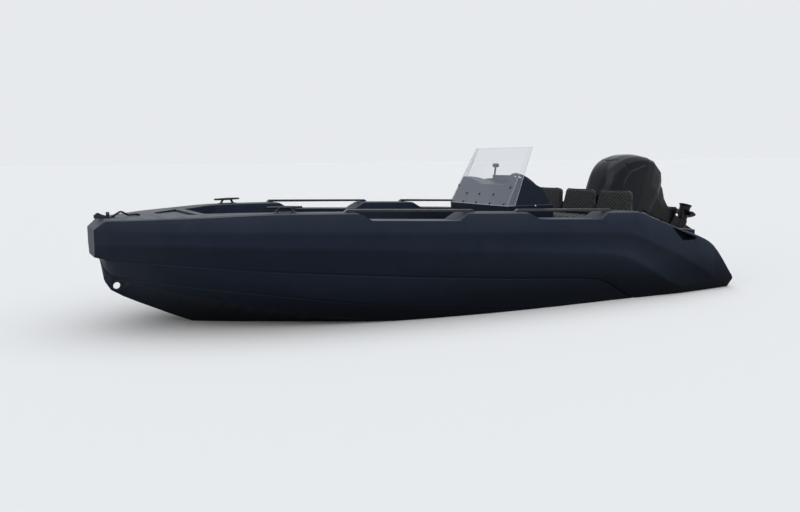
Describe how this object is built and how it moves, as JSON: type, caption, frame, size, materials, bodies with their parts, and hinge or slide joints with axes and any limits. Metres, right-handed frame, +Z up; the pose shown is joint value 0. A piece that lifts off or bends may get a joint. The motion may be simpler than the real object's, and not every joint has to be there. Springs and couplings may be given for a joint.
{
  "type": "rigid open console motorboat",
  "caption": "Open moulded motorboat with an angular collar, centre console with windshield, quilted rear bench and an outboard engine tilted up",
  "frame": {"origin": "on the centreline, midship, at the level waterline", "axes": "+X to the bow, +Y to port, +Z up"},
  "size_m": [5.6369, 2.041, 1.483],
  "materials": {
    "hull_plastic": "rotomoulded charcoal plastic with light scuffs",
    "floor_plastic": "ribbed non-slip plastic",
    "rail_black": "satin black",
    "stainless": "stainless",
    "black_plastic": "satin black plastic",
    "black_rubber": "rubber",
    "console_grey": "blue-grey moulded plastic",
    "smoke_glass": "clear screen, slightly smoked",
    "seat_vinyl": "diamond-quilted vinyl",
    "wheel_grip": "grip",
    "engine_black": "satin black paint",
    "cowl_gloss": "gloss black",
    "engine_block": "grey block",
    "ram_steel": "polished rod"
  },
  "bodies": {
    "hull": {"hull_bottom": "hull_plastic", "collar_port": "hull_plastic", "collar_starboard": "hull_plastic", "bow_moulding": "hull_plastic", "bow_bulkhead": "hull_plastic", "transom": "hull_plastic", "floor_panel": "floor_plastic", "rail_fore_port": "rail_black", "rail_fore_starboard": "rail_black", "rail_aft_port": "rail_black", "rail_aft_starboard": "rail_black", "cleat_port": "stainless", "cleat_starboard": "stainless", "stern_eye_port": "stainless", "stern_eye_starboard": "stainless", "bow_roller_bracket": "stainless", "bow_post": "stainless", "bow_handle": "black_plastic", "console": "console_grey", "windshield": "smoke_glass", "helm": "black_plastic", "instrument_pod": "console_grey", "throttle_box": "black_plastic", "throttle_lever": "black_plastic", "bench": "console_grey", "seat_cushion": "seat_vinyl", "seat_back_frame": "black_plastic", "seat_back_starboard": "seat_vinyl", "seat_back_middle": "seat_vinyl", "seat_back_port": "seat_vinyl", "engine_clamp_bracket": "engine_black"},
    "bow_roller": {"bow_roller": "black_rubber"},
    "steering_wheel": {"steering_wheel": "wheel_grip"},
    "swivel": {"engine_swivel_bracket": "engine_black"},
    "engine": {"engine_leg": "engine_black", "engine_gearcase": "engine_black", "engine_cowl_lower": "engine_black", "engine_cowl_top": "cowl_gloss", "engine_powerhead": "engine_block"},
    "propeller": {"propeller": "engine_black"},
    "ram_barrel": {"tilt_ram_barrel": "engine_black"},
    "ram_rod": {"tilt_ram_rod": "ram_steel"}
  },
  "joints": [
    {"name": "bow_roller_spin", "type": "hinge", "parent": "hull", "child": "bow_roller", "pos_m": [2.482, 0, 0.77415], "axis": [0, 1, 0], "continuous": true},
    {"name": "steering_wheel_turn", "type": "hinge", "parent": "hull", "child": "steering_wheel", "pos_m": [-0.99, 0.06, 0.868], "axis": [-0.7431, 0, 0.6691], "range_deg": [-540, 540]},
    {"name": "engine_tilt", "type": "hinge", "parent": "hull", "child": "swivel", "pos_m": [-2.28, 0, 0.44], "axis": [0, 1, 0], "range_deg": [-76, 0]},
    {"name": "engine_steer", "type": "hinge", "parent": "swivel", "child": "engine", "pos_m": [-2.32326, 0, 0.57315], "axis": [0.9511, 0, 0.309], "range_deg": [-30, 30]},
    {"name": "propeller_spin", "type": "hinge", "parent": "engine", "child": "propeller", "pos_m": [-2.9489, 0, 0.55703], "axis": [-0.309, 0, 0.9511], "continuous": true},
    {"name": "tilt_ram_swing", "type": "hinge", "parent": "hull", "child": "ram_barrel", "pos_m": [-2.334, 0, 0.08], "axis": [0, 1, 0], "range_deg": [-8, 8]},
    {"name": "tilt_ram_slide", "type": "slide", "parent": "ram_barrel", "child": "ram_rod", "axis": [-0.0493, 0, 0.9988], "range_m": [-0.12, 0.01]}
  ],
  "couplings": [
    {"joint": "steering_wheel_turn", "follows": "engine_steer", "ratio": -18},
    {"joint": "tilt_ram_swing", "follows": "engine_tilt", "ratio": 0.00698},
    {"joint": "tilt_ram_slide", "follows": "engine_tilt", "m_per_rad": 0.0789}
  ]
}
